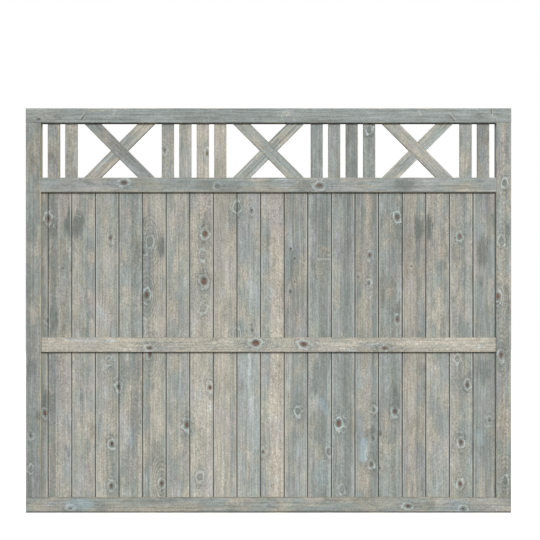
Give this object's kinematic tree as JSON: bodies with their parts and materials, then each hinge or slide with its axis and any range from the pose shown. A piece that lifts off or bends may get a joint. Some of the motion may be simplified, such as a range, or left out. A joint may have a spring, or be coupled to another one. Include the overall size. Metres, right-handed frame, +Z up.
{
  "type": "privacy fence panel",
  "caption": "Framed timber privacy fence panel of upright tongue-and-groove boards, with an open strip of pickets and crossed braces at the top.",
  "frame": {"origin": "middle of the panel's width and depth, on the plane that the bottom rail stands on", "axes": "+X along the panel's width, +Z up, the front faces -Y"},
  "size_m": [1.8, 0.045, 1.5],
  "materials": {
    "frame_timber": "grey glaze",
    "board_timber": "grey glaze",
    "batten_timber": "grey glaze",
    "zinc_steel": "zinc plated"
  },
  "bodies": {
    "root": {"board_01": "board_timber", "board_02": "board_timber", "board_03": "board_timber", "board_04": "board_timber", "board_05": "board_timber", "board_06": "board_timber", "board_07": "board_timber", "board_08": "board_timber", "board_09": "board_timber", "board_10": "board_timber", "board_11": "board_timber", "board_12": "board_timber", "board_13": "board_timber", "board_14": "board_timber", "board_15": "board_timber", "board_16": "board_timber", "board_17": "board_timber", "board_18": "board_timber", "board_19": "board_timber", "board_20": "board_timber", "bottom_rail": "frame_timber", "crossing_brads": "zinc_steel", "falling_brace_1": "batten_timber", "falling_brace_2": "batten_timber", "falling_brace_3": "batten_timber", "frame_screws": "zinc_steel", "lattice_brads": "zinc_steel", "lattice_rail": "frame_timber", "left_stile": "frame_timber", "middle_rail_back": "frame_timber", "middle_rail_front": "frame_timber", "picket_01": "batten_timber", "picket_02": "batten_timber", "picket_03": "batten_timber", "picket_04": "batten_timber", "picket_05": "batten_timber", "picket_06": "batten_timber", "picket_07": "batten_timber", "picket_08": "batten_timber", "picket_09": "batten_timber", "picket_10": "batten_timber", "picket_11": "batten_timber", "picket_12": "batten_timber", "rail_brads": "zinc_steel", "right_stile": "frame_timber", "rising_brace_1": "batten_timber", "rising_brace_2": "batten_timber", "rising_brace_3": "batten_timber", "top_rail": "frame_timber"}
  },
  "joints": []
}
